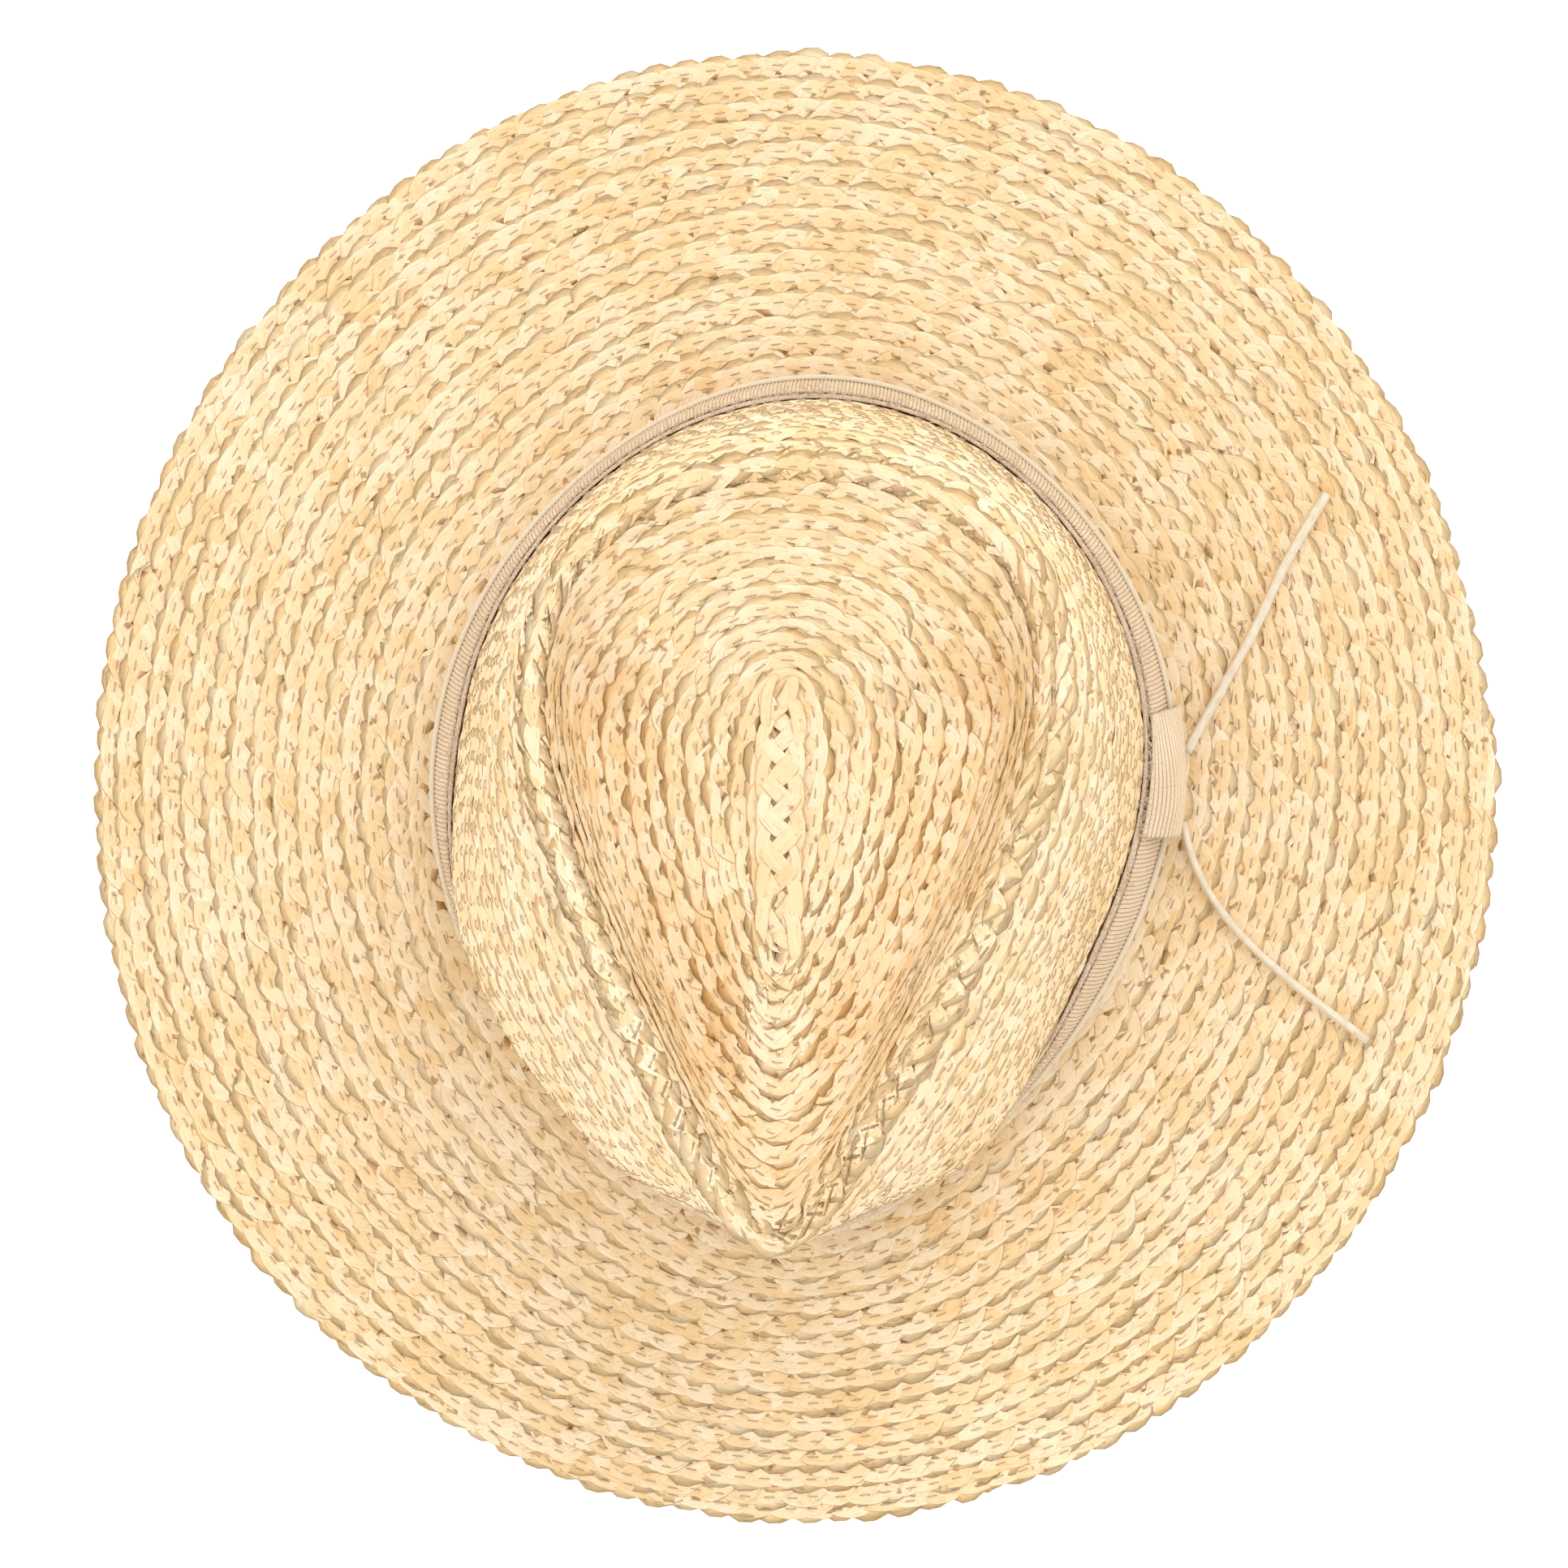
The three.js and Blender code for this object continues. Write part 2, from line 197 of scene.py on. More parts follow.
def wall_station(theta, ridge, foot, ridge_z, q):
    share = bulge_share(theta)
    slope = 0.6 * q + 0.4 * (1 - (1 - q) ** 14)
    reach = mix(slope, 1 - (1 - q) ** 4, share)
    bulge = BULGE * share * math.exp(-(((q - 0.45) / 0.17) ** 2))
    outward = np.stack([np.cos(theta), np.sin(theta)], axis=-1)
    return at(mix(ridge, foot, reach[:, None]) + outward * bulge[:, None], mix(ridge_z, HEAD_LINE_Z, q))


def stations(theta):
    """The points that each meridian of the crown runs through, from the seed to the foot of the wall."""
    s = np.sin(theta)
    back = ease(s, 0.45, 0.95)
    seed, valley, ridge, foot = (outline(curve, theta) for curve in (SEED, VALLEY, RIDGE, FOOT))
    valley_z = VALLEY_Z["side"] + VALLEY_Z["back_rise"] * back + VALLEY_Z["front_rise"] * ease(-s, 0.45, 1)
    ridge_z = (RIDGE_Z["side"] - RIDGE_Z["back_drop"] * ease(s, 0.4, 1)
               + RIDGE_Z["front_rise"] * ease(-s, 0.1, 1))

    def climb(inset, drop):
        return at(mix(ridge, valley, inset), mix(ridge_z, valley_z, drop))

    wall = [wall_station(theta, ridge, foot, ridge_z, q) for q in WALL_STEPS]
    return np.array([
        at(seed, SEED_Z),
        at(mix(seed, valley, 0.5), mix(SEED_Z, valley_z, 0.5) + 0.8),
        at(valley, valley_z),
        climb(0.62, mix(0.68, 0.62, back)),
        climb(0.3, mix(0.18, 0.3, back)),
        at(ridge, ridge_z),
        *wall,
    ])


def smooth_curve(points, steps):
    """Centripetal Catmull-Rom curves through points[k], evaluated at the given number of steps a span."""
    ends = [2 * points[0] - points[1], *points, 2 * points[-1] - points[-2]]
    made = []
    for p0, p1, p2, p3 in zip(ends, ends[1:], ends[2:], ends[3:]):
        d0, d1, d2 = (np.sqrt(np.linalg.norm(b - a, axis=-1, keepdims=True))
                      for a, b in ((p0, p1), (p1, p2), (p2, p3)))
        m1 = ((p1 - p0) / d0 - (p2 - p0) / (d0 + d1) + (p2 - p1) / d1) * d1
        m2 = ((p2 - p1) / d1 - (p3 - p1) / (d1 + d2) + (p3 - p2) / d2) * d1
        for t in np.arange(steps) / steps:
            made.append(p1 + m1 * t + (3 * (p2 - p1) - 2 * m1 - m2) * t ** 2
                        + (2 * (p1 - p2) + m1 + m2) * t ** 3)
    made.append(points[-1])
    return np.array(made)


def brim_points(theta, steps):
    """Points of the brim from the foot of the wall to the edge: first the fillet, then the rest."""
    foot = outline(FOOT, theta)
    out = edge_outline(theta) - foot
    width = np.linalg.norm(out, axis=1)
    out /= width[:, None]
    lean = 0.8
    rise = EDGE_RISE + EDGE_RISE_BACK * np.sin(theta)
    made = []
    for part in np.arange(1, steps + 1) / steps:
        reach = 2 * part * (1 - part) * lean + part * part * FILLET
        made.append(at(foot + out * reach, REST_Z + (HEAD_LINE_Z - REST_Z) * (1 - part) ** 2))
    for part in np.arange(1, 4 * steps + 1) / (4 * steps):
        reach = mix(FILLET, width, part)
        climbed = np.maximum(0, (reach - FLAT_REACH) / (width - FLAT_REACH))
        made.append(at(foot + out * reach[:, None], REST_Z + rise * climbed ** RISE_POWER))
    return np.array(made)


class Surface:
    """The middle surface as a table over angle and row, where a row is one turn of the plait."""

    ANGLES = 720
    PER_ROW = 8
    MARGIN = 1.0  # rows that the table runs on past both ends

    def __init__(self):
        self.theta = np.arange(self.ANGLES) * TURN / self.ANGLES
        span_steps = 12
        crown = smooth_curve(stations(self.theta), span_steps)
        line = np.concatenate([crown, brim_points(self.theta, span_steps)])
        length = np.concatenate([np.zeros((1, self.ANGLES)),
                                 np.cumsum(np.linalg.norm(np.diff(line, axis=0), axis=2), axis=0)])
        ridge, foot = RIDGE_STATION * span_steps, len(crown) - 1
        zones = ((0, ridge, 0, TOP_ROWS), (ridge, foot, TOP_ROWS, TOP_ROWS + WALL_ROWS),
                 (foot, len(line) - 1, TOP_ROWS + WALL_ROWS, ROWS))
        rows = np.arange(0, ROWS + 1e-9, 1 / self.PER_ROW)
        wider = 1 + RIDGE_WIDER * np.exp(-(((rows - TOP_ROWS + 0.3) / 1.3) ** 2))
        travel = np.concatenate([[0], np.cumsum((wider[1:] + wider[:-1]) / 2)])
        wanted = np.zeros((len(rows), self.ANGLES))
        for first, last, row_low, row_high in zones:
            inside = (rows >= row_low - 1e-9) & (rows <= row_high + 1e-9)
            low, high = np.interp((row_low, row_high), rows, travel)
            share = (travel[inside] - low) / (high - low)
            wanted[inside] = length[first] + share[:, None] * (length[last] - length[first])
        table = np.empty((len(rows), self.ANGLES, 3))
        for i in range(self.ANGLES):
            for axis in range(3):
                table[:, i, axis] = np.interp(wanted[:, i], length[:, i], line[:, i, axis])
        extra = int(self.MARGIN * self.PER_ROW)
        before = [table[0] - (table[k] - table[0]) for k in range(extra, 0, -1)]
        after = [table[-1] + (table[-1] - table[-1 - k]) for k in range(1, extra + 1)]
        self.point = np.concatenate([before, table, after])
        down = np.gradient(self.point, 1 / self.PER_ROW, axis=0)
        around = (np.roll(self.point, -1, axis=1) - np.roll(self.point, 1, axis=1)) / 2
        normal = unit(np.cross(down, around))
        steps = self.PER_ROW // 2  # normals are smoothed over this many rows of the table each way
        padded = np.concatenate([normal[:1]] * steps + [normal] + [normal[-1:]] * steps)
        self.normal = unit(sum(padded[k:k + len(normal)] for k in range(2 * steps + 1)))
        self.row_wide = np.linalg.norm(down, axis=2)

    def _read(self, table, theta, row):
        return between(table, theta, (row + self.MARGIN) * self.PER_ROW)

    def points(self, theta, row):
        return self._read(self.point, theta, row)

    def normals(self, theta, row):
        return unit(self._read(self.normal, theta, row))

    def widths(self, theta, row):
        return self._read(self.row_wide, theta, row)


surface = Surface()


class Wall:
    """The wall, with places given by angle, height and distance outside the middle surface."""

    LOW = 5.0
    STEP = 0.5
    LEVELS = 80

    def __init__(self):
        rows = np.linspace(TOP_ROWS + 1, TOP_ROWS + WALL_ROWS + 1.5, 400)
        heights = surface.points(*np.meshgrid(surface.theta, rows, indexing="ij"))[..., 2]
        levels = self.LOW + self.STEP * np.arange(self.LEVELS)
        self.row = np.array([np.interp(-levels, -h, rows) for h in heights]).T

    def points(self, theta, z, outside):
        theta, z, outside = np.broadcast_arrays(theta, z, outside)
        row = between(self.row, theta, (z - self.LOW) / self.STEP)
        return surface.points(theta, row) + surface.normals(theta, row) * outside[..., None]


wall = Wall()


# -------------------------------- meshes

def make_piece(name, points, faces, material, data, replaces=()):
    """A mesh from points in millimetres. data is a vector for each, which materials read as 'strand'."""
    mesh = bpy.data.meshes.new(name)
    points = np.asarray(points, np.float32).reshape(-1, 3) * MM
    mesh.vertices.add(len(points))
    mesh.vertices.foreach_set("co", points.ravel())
    corners = np.concatenate([f.ravel() for f in faces]).astype(np.int32)
    sizes = np.concatenate([np.full(len(f), f.shape[1], np.int32) for f in faces])
    mesh.loops.add(len(corners))
    mesh.loops.foreach_set("vertex_index", corners)
    mesh.polygons.add(len(sizes))
    mesh.polygons.foreach_set("loop_start", np.concatenate([[0], np.cumsum(sizes)[:-1]]).astype(np.int32))
    mesh.polygons.foreach_set("use_smooth", np.full(len(sizes), True))
    mesh.update(calc_edges=True)
    attribute = mesh.attributes.new("strand", "FLOAT_VECTOR", "POINT")
    attribute.data.foreach_set("vector", np.asarray(data, np.float32).ravel())
    mesh.materials.append(material)
    piece = bpy.data.objects.new(name, mesh)
    bpy.context.scene.collection.objects.link(piece)
    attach(piece, "root")
    if replaces:
        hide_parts(*replaces)
    return piece


def tube_faces(count, stations_each, sides):
    """Faces of count closed tubes of equal build, as quads along and one n-gon at each end."""
    s, j = np.meshgrid(np.arange(stations_each - 1), np.arange(sides), indexing="ij")
    k = (j + 1) % sides
    quad = np.stack([s * sides + j, s * sides + k, (s + 1) * sides + k, (s + 1) * sides + j], axis=-1)
    caps = np.stack([np.arange(sides)[::-1], (stations_each - 1) * sides + np.arange(sides)])
    base = (np.arange(count) * stations_each * sides)[:, None, None]
    return [(quad.reshape(1, -1, 4) + base).reshape(-1, 4), (caps[None] + base).reshape(-1, sides)]


def circle(corners, radius=1.0):
    """A round section as (across, up) pairs, in the turning direction that tubes() expects."""
    corner = np.arange(corners) * TURN / corners
    return radius * np.stack([np.cos(corner), -np.sin(corner)], axis=-1)


def strand_data(along, across, seed):
    """What materials read at each point, from arrays that fit each other."""
    return np.stack(np.broadcast_arrays(along, across, seed), axis=-1)


def tubes(line, side, section):
    """Closed tubes along line[tube, station], whose section is (across, up) pairs per station.

    side[tube, station] is the direction that the section's first coordinate follows.
    """
    along = unit(np.gradient(line, axis=1))
    side = unit(side - along * np.sum(side * along, axis=-1, keepdims=True))
    up = np.cross(along, side)
    points = (line[:, :, None, :] + side[:, :, None, :] * section[..., 0:1]
              + up[:, :, None, :] * section[..., 1:2])
    return points.reshape(-1, 3)


# -------------------------------- the spiral of plait

class Spiral:
    """The plait's middle line, from the crown's centre to the brim's edge."""

    STEP = TURN / 360
    LAST_ROW = ROWS - 1.02  # the outermost turn keeps to the brim's edge

    def __init__(self):
        turned = np.arange(0, (self.LAST_ROW + 1) * TURN, self.STEP)
        self.theta = turned + math.pi / 2
        shared = sum(0.1 / k * np.sin(k * self.theta + rng.uniform(0, TURN)) for k in range(2, 7))
        own = sum(0.03 * np.sin(turned * 1.37 * k + rng.uniform(0, TURN)) for k in range(1, 6))
        wobble = (shared + own) * ease(turned, TURN, 4 * TURN)
        self.row = np.minimum(turned / TURN - 0.3, self.LAST_ROW) + wobble
        place = surface.points(self.theta, self.row)
        step = np.linalg.norm(np.diff(place, axis=0), axis=1)
        self.length = np.concatenate([[0], np.cumsum(step)])
        self.turns = turned / TURN

    def at(self, length):
        return (np.interp(length, self.length, self.theta), np.interp(length, self.length, self.row),
                np.interp(length, self.length, self.turns))


spiral = Spiral()

def leaf_shapes(at, count, scale, steps):
    """Where each leaf runs, as distances along, across and above its row, and its half sizes."""
    at_edge = at % 180 == EDGE_AT
    before, after = (1.25, 1.85) if at_edge else (1.3, 1.3)
    stretch = 2.0 if at_edge else 1.0
    share = np.linspace(-1, 1, steps)[None, :]
    way = np.where(share < 0, before, after) * share
    angle = np.radians(at + CROSSING * way + 0 * scale)
    pitch = LEAF_PITCH * scale * rng.normal(1, 0.04, (count, 1))
    along = way * pitch * CROSSING * STRANDS / 360 + rng.normal(0, 0.3, (count, 1))
    across = SWING * scale * rng.normal(1, 0.03, (count, 1)) * np.tanh(1.5 * np.sin(angle)) / math.tanh(1.5)
    across = across + rng.normal(0, 0.14, (count, 1)) + rng.normal(0, 0.1, (count, 1)) * share
    dip = np.abs(way) / np.where(way > 0, stretch, 1)
    lift = np.where(dip < 1, np.cos(math.pi * dip), -1 - 1.6 * (dip - 1))
    above = LIFT * lift + rng.normal(0, 0.03, (count, 1)) + rng.normal(0, 0.02, (count, 1)) * share
    plump = rng.normal(1, 0.11, (count, 1)).clip(0.7, 1.25)
    ends = 1 - rng.uniform(0.4, 0.7, (count, 1)) * np.abs(share) ** 3
    wide = (LEAF_WIDE if at_edge else MIDDLE_WIDE) / 2 * scale * plump * ends
    thick = LEAF_THICK / 2 * rng.normal(1, 0.18, (count, 1)).clip(0.5, 1.6) * mix(1, 0.6, share ** 2)
    return along, across, above, wide, thick


def leaf_meshes(line, side, wide, thick, seed, shape):
    """Points and strand data of leaves along line[leaf, station]."""
    count = len(line)
    skew = rng.uniform(-0.3, 0.3, (count, 1, 1)) * (shape[:, 1] > 0.6)
    u = shape[:, 0] + skew
    section = np.stack([u * wide[..., None], shape[:, 1] * thick[..., None]], axis=-1)
    points = tubes(line, side, section)
    length = np.cumsum(np.linalg.norm(np.gradient(line, axis=1), axis=-1), axis=1)
    data = strand_data(length[..., None], u * LEAF_EDGE, seed[:, None, None])
    return points.reshape(count, -1, 3), data.reshape(count, -1, 3)


def row_leaves(at, under=False):
    """The leaves of one column of the plait, along the whole spiral."""
    half = at % 72 / 72 * LEAF_PITCH
    middle = np.arange(half + 8, spiral.length[-1] - 12, LEAF_PITCH)
    theta, row, turns = spiral.at(middle)
    count = len(middle)
    wide_row = ease(surface.widths(theta, row), 5.2, 6.6)[:, None]
    shape = UNDER_SECTION if under else SECTION
    along, across, above, wide, thick = leaf_shapes(at, count, 1 + 0.1 * wide_row,
                                                    UNDER_STATIONS if under else STATIONS)
    if under:
        above, wide, thick = -LIFT - 0.08 + 0.3 * above, wide * 1.35, thick * 1.1
    theta, row, _ = spiral.at(middle[:, None] + along)
    place_row = row + across / surface.widths(theta, row)
    normal = surface.normals(theta, place_row)
    outward = unit(surface.points(theta, place_row + 0.1) - surface.points(theta, place_row - 0.1))
    slope = SHINGLE * mix(1, 0.55, wide_row)
    height = above + slope * (across - mix(SHOWN_MIDDLE, 0.6, wide_row))
    line = surface.points(theta, place_row) + normal * height[..., None]
    roll = rng.normal(0, 0.07, (count, 1, 1)) - slope[..., None]
    side = np.cross(unit(normal + outward * roll), unit(np.gradient(line, axis=1)))
    # The strands' parts under the leaves get low seeds, which the raffia's tint ramp turns darker: painted
    # shade, since they show only in the gaps between leaves.
    seed = rng.uniform(-0.6, 0.3, count) if under else rng.uniform(0, 1, count)
    points, data = leaf_meshes(line, side, wide, thick, seed, shape)
    return points, data, turns, spiral.at(middle)[0]


def centre_leaves():
    """The plait's first stretch, laid straight over the middle of the spiral and wider than the rest."""
    start, end = (np.array(p) for p in CENTRE_LINE)
    scale = 1.1
    long = np.linalg.norm(end - start)
    forward = (end - start) / long
    outward = np.array([-forward[1], forward[0]])
    made = []
    for at in OVER_AT:
        first = at % 72 / 72 * LEAF_PITCH * scale
        middle = np.arange(first, long, LEAF_PITCH * scale)
        count = len(middle)
        along, across, above, wide, thick = leaf_shapes(at, count, scale * np.ones((count, 1)), STATIONS)
        ends = ease(middle, -2, 8) * ease(long - middle, -4, 10)
        across = across * mix(0.7, 1, ends)[:, None]
        flat = start + (middle[:, None] + along)[..., None] * forward + across[..., None] * outward
        z = centre_height(flat) + 0.9 + above * 1.2
        line = np.concatenate([flat, z[..., None]], axis=-1)
        side = np.cross([0, 0, 1.0], unit(np.gradient(line, axis=1)))
        made.append(leaf_meshes(line, side, wide * 0.87, thick * 1.1, rng.uniform(0.1, 1, count), SECTION))
    return [np.concatenate(parts) for parts in zip(*made)]


def centre_height(flat):
    """The height of the middle surface near the crown's centre, from the nearest places in its table."""
    table = surface.point[:int(5 * surface.PER_ROW):2, ::8].reshape(-1, 3)
    gap = np.linalg.norm(flat[..., None, :] - table[:, :2], axis=-1)
    weight = 1 / (gap + 0.8) ** 4
    return np.sum(weight * table[:, 2], axis=-1) / np.sum(weight, axis=-1)


def plait_pieces(material):
    """The plait, in rings and sectors: the crown's top, ridge and wall, and the brim's parts.

    Each piece holds the leaves that show from above and the parts of strands that pass under them.
    """
    over = [np.concatenate(parts) for parts in zip(*(row_leaves(at) for at in OVER_AT))]
    centre_points, centre_data = centre_leaves()
    nowhere = np.zeros(len(centre_points))
    over = [np.concatenate(parts) for parts in zip(over, (centre_points, centre_data, nowhere, nowhere))]
    under = [np.concatenate(parts) for parts in zip(*(row_leaves(at, under=True) for at in UNDER_AT))]
    layers = ((over, STATIONS, len(SECTION)), (under, UNDER_STATIONS, len(UNDER_SECTION)))
    edges = [0, 9, *np.linspace(TOP_ROWS + 0.5, TOP_ROWS + WALL_ROWS, WALL_PIECES + 1), ROWS + 9]
    names = ["crown_top_plait", "crown_ridge_plait"]
    names += [f"crown_wall_plait_{i + 1}" for i in range(WALL_PIECES)]
    groups = [(name, low, high, 0, 1) for name, low, high in zip(names, edges, edges[1:])]
    groups += [(f"brim_plait_{i + 1}", *edges[-2:], i / BRIM_PIECES, (i + 1) / BRIM_PIECES)
               for i in range(BRIM_PIECES)]
    for name, low, high, start, end in groups:
        points, data, faces, base = [], [], [], 0
        for (leaf_points, leaf_data, turns, theta), steps, sides in layers:
            around = theta / TURN % 1
            chosen = (turns >= low) & (turns < high) & (around >= start) & (around < end)
            points.append(leaf_points[chosen].reshape(-1, 3))
            data.append(leaf_data[chosen].reshape(-1, 3))
            faces += [f + base for f in tube_faces(int(chosen.sum()), steps, sides)]
            base += len(points[-1])
        make_piece(name, np.concatenate(points), faces, material, np.concatenate(data),
                   replaces=["brim" if name.startswith("brim") else "crown"])


# -------------------------------- bands, lace and stitches

def band_faces(angles, profile, closed):
    """Faces of a band: each angle has a closed profile, first down its outer side and then up its inner."""
    i, j = np.meshgrid(np.arange(angles if closed else angles - 1), np.arange(profile), indexing="ij")
    k = (j + 1) % profile
    here, there = i * profile, (i + 1) % angles * profile
    quads = np.stack([here + j, here + k, there + k, there + j], axis=-1).reshape(-1, 4)
    if closed:
        return [quads]
    return [quads, np.stack([np.arange(profile)[::-1], (angles - 1) * profile + np.arange(profile)])]


def band_piece(name, node, theta, z, outside, material, slot, closed=True, data=None):
    """A band from its profiles. theta is a column, and z and outside have one column a profile point."""
    points = wall.points(theta, z, outside)
    data = data or (theta * BAND_ROUND / TURN, z, outside)
    return make_piece(name, points, band_faces(*points.shape[:2], closed), material,
                      data=strand_data(*data), replaces=[node])


def closed_profile(z, outer, inner):
    """Heights and distances outside of a profile that goes down its outer side and up its inner."""
    z, outer, inner = np.broadcast_arrays(z, outer, inner)
    return np.concatenate([z, z[:, ::-1]], axis=1), np.concatenate([outer, inner[:, ::-1]], axis=1)


def around_hat(count):
    """A column of evenly spaced angles."""
    return (np.arange(count) * TURN / count)[:, None]


def ripple(theta, size, parts=5, first=2):
    """A gentle random waviness round the hat, about size high."""
    return sum(size / parts * np.sin(k * theta + rng.uniform(0, TURN)) for k in range(first, first + parts))


def ribbon_piece(material):
    """Grosgrain: ribs across the ribbon's width, and a looped edge at top and bottom."""
    per_rib = 4
    theta = around_hat(RIBS * per_rib)
    hump = np.sin(theta * RIBS / 2) ** 2
    down = np.array([0, 0.02, 0.08, 0.3, 0.55, 0.8, 0.93, 0.98, 1])[None, :]
    edge = np.minimum(down, 1 - down) < 0.01
    low = RIBBON["low"] + ripple(theta, 0.25)
    high = RIBBON["high"] + ripple(theta, 0.5)
    loops = np.where(down > 0.5, -1, 1) * edge * (hump - 0.5) * 0.5
    z = mix(high, low, down) + loops
    bulge = ripple(theta, 0.12) * np.sin(math.pi * down)
    lean = -1.0 * ease(z, 23, 34)
    outer = RIBBON["outer"] - 0.14 + 0.26 * hump * np.where(edge, 0.4, 1) + bulge + lean
    inner = RIBBON["inner"] + 0.1 * hump + bulge + lean
    piece = band_piece("band_ribbon_cloth", "band_ribbon", theta, *closed_profile(z, outer, inner),
                       material, "ribbon")


def underlay_piece(material):
    """The canvas strip under the ribbon, with an uneven raw upper edge."""
    theta = around_hat(900)
    down = np.linspace(0, 1, 9)[None, :]
    ragged = rng.normal(0, 0.16, theta.shape) + ripple(theta, 0.7, parts=9, first=3)
    z = mix(UNDERLAY["high"] + ragged, UNDERLAY["low"], down)
    lean = (ripple(theta, 0.25) - 1.1) * ease(z, 24, 37)
    outer = UNDERLAY["outer"] - 0.05 + lean
    inner = UNDERLAY["inner"] + 0.05 + lean
    piece = band_piece("band_underlay_cloth", "band_underlay", theta, *closed_profile(z, outer, inner),
                       material, "canvas")


def hair_piece(name, root, direction, length, radius, bend, material):
    """Fine fibres: each leaves its root along its direction and bends on the way."""
    count = len(root)
    share = np.linspace(0, 1, 6)[None, :, None]
    curl = rng.normal(0, 1, (count, 1, 3)) * bend[:, None, None]
    line = root[:, None, :] + (direction[:, None, :] * share + curl * share ** 2) * length[:, None, None]
    side = np.cross(direction, rng.normal(0, 1, (count, 3)))[:, None, :] * np.ones_like(line)
    thick = radius[:, None, None, None] * (1 - 0.6 * share[..., None])
    points = tubes(line, side, circle(4) * thick)
    data = strand_data(share * length[:, None, None], circle(4, 0.3)[:, 0],
                       rng.uniform(0, 1, (count, 1, 1)))
    make_piece(name, points, tube_faces(count, 6, 4), material, data)


def canvas_fray(material):
    """Loose threads of the canvas strip's cut edge, mostly short, some hanging over the ribbon."""
    count = 2400
    theta = rng.uniform(0, TURN, count)
    z = UNDERLAY["high"] + rng.normal(-0.9, 0.9, count)
    outside = rng.uniform(UNDERLAY["inner"], UNDERLAY["outer"] + 0.1, count) - 0.5
    root = wall.points(theta, z, outside)
    out = surface.normals(theta, np.full(count, TOP_ROWS + WALL_ROWS - 6))
    around = np.stack([-np.sin(theta), np.cos(theta), np.zeros(count)], axis=-1)
    sideways = rng.normal(0, 0.9, (count, 1))
    up = np.array([0, 0, 1.0]) * rng.uniform(-0.5, 1, (count, 1))
    direction = unit(up + out * rng.uniform(0.1, 0.9, (count, 1)) + around * sideways)
    length = rng.gamma(2.2, 1.15, count).clip(0.6, 8)
    hair_piece("band_underlay_fray", root, direction, length, rng.uniform(0.06, 0.13, count),
               rng.uniform(0.1, 0.6, count), material)


def keeper_piece(material):
    """The short loop of the same ribbon, whose ribs run along the band and sag a little in the middle.

    It stands off the ribbon most towards its front end, and has a lip behind each of its edges.
    """
    theta = np.radians(np.linspace(KEEPER["start"], KEEPER["end"], 33))[:, None]
    across = np.linspace(-1, 1, 33)[:, None]
    thick = KEEPER["thick"]
    low, high = KEEPER["low"], KEEPER["high"]
    top_out = RIBBON["outer"] + 0.3 + thick
    bottom_out = KEEPER["inner"] + thick
    down = np.linspace(0, 1, 161)[None, :]
    z = mix(high, low, down)
    belly = ease(down, 0.25, 0.85)
    sag = KEEPER_SAG * (1 - across ** 2) * np.sin(math.pi * down)
    ribs = np.sin((z + sag) / KEEPER_RIB * math.pi) ** 2
    round_off = 0.5 * (ease(down, 0, 0.03) + ease(1 - down, 0, 0.03)) - 1
    outer = mix(top_out, bottom_out, belly) - 0.14 + 0.3 * ribs + round_off - 1.5 * ease(z, 22, 35)
    outer = outer + 2.6 * ease(-across, -1, 0.6) * np.sin(math.pi * down).clip(0, 1) ** 0.7
    outer = outer - 0.25 * (1 - across ** 2) * np.sin(math.pi * down)
    inner_z = z[:, ::-1].clip(low + 0.45, high - 0.45)
    inner = (outer - round_off - 0.3 * ribs - 0.4)[:, ::-1]
    every = np.ones_like(theta)
    profile_out = np.concatenate([outer, every * [LACE_IN, LACE_IN + 0.2], inner,
                                  every * [RIBBON["inner"] + 0.2, RIBBON["inner"]]], axis=1)
    profile_z = np.concatenate([every * z, every * [low + 0.05, low + 0.45], every * inner_z,
                                every * [high - 0.45, high - 0.1]], axis=1)
    below_top = (high - profile_z) / (high - low)
    sagged = profile_z + KEEPER_SAG * (1 - across ** 2) * np.sin(math.pi * below_top)
    # The first value places the ribbon material's painted shade between ribs so that it follows these ribs.
    data = (sagged * RIB / KEEPER_RIB, theta * BAND_ROUND / TURN, profile_out)
    piece = band_piece("band_keeper_cloth", "band_keeper", theta, profile_z, profile_out, material,
                       "ribbon", closed=False, data=data)


def lace_section(wide, thick):
    """A lace's cut: a rectangle with rounded corners, as (across, up) pairs."""
    bevel = 0.28
    x, y = wide / 2, thick / 2
    return np.array([(-x, bevel - y), (-x, y - bevel), (bevel - x, y), (0, y + 0.04), (x - bevel, y),
                     (x, y - bevel), (x, bevel - y), (x - bevel, -y), (0, -y - 0.04), (bevel - x, -y)])


def lace_tail(name, material):
    """A free end of the lace, lying on the brim with its flat side up and cut off square."""
    route = [np.array([point], float) for point in LACE_TAILS[name]]
    line = smooth_curve(route, 6)[:, 0, :]
    up = np.array([0, 0, 1.0])
    along = unit(np.gradient(line, axis=0))
    turn = (TAIL_LIE[name] + 0.14 * np.sin(np.linspace(0, 5, len(line))))[:, None]
    side = unit(np.cross(up, along))
    side = side * np.cos(turn) + up * np.sin(turn)
    wide = TAIL_WIDE[name]
    section = lace_section(wide, LACE_THICK) * np.ones((1, len(line), 1, 1))
    section = section * (1 + 0.05 * rng.normal(0, 1, (1, len(line), 1, 1)).clip(-1, 1))
    points = tubes(line[None], -side[None], section)
    length = np.concatenate([[0], np.cumsum(np.linalg.norm(np.diff(line, axis=0), axis=1))])
    piece = make_piece(name + "_cord", points, tube_faces(1, len(line), section.shape[2]), material,
                       strand_data(length[None, :, None], section[..., 0], 0.5), replaces=[name])


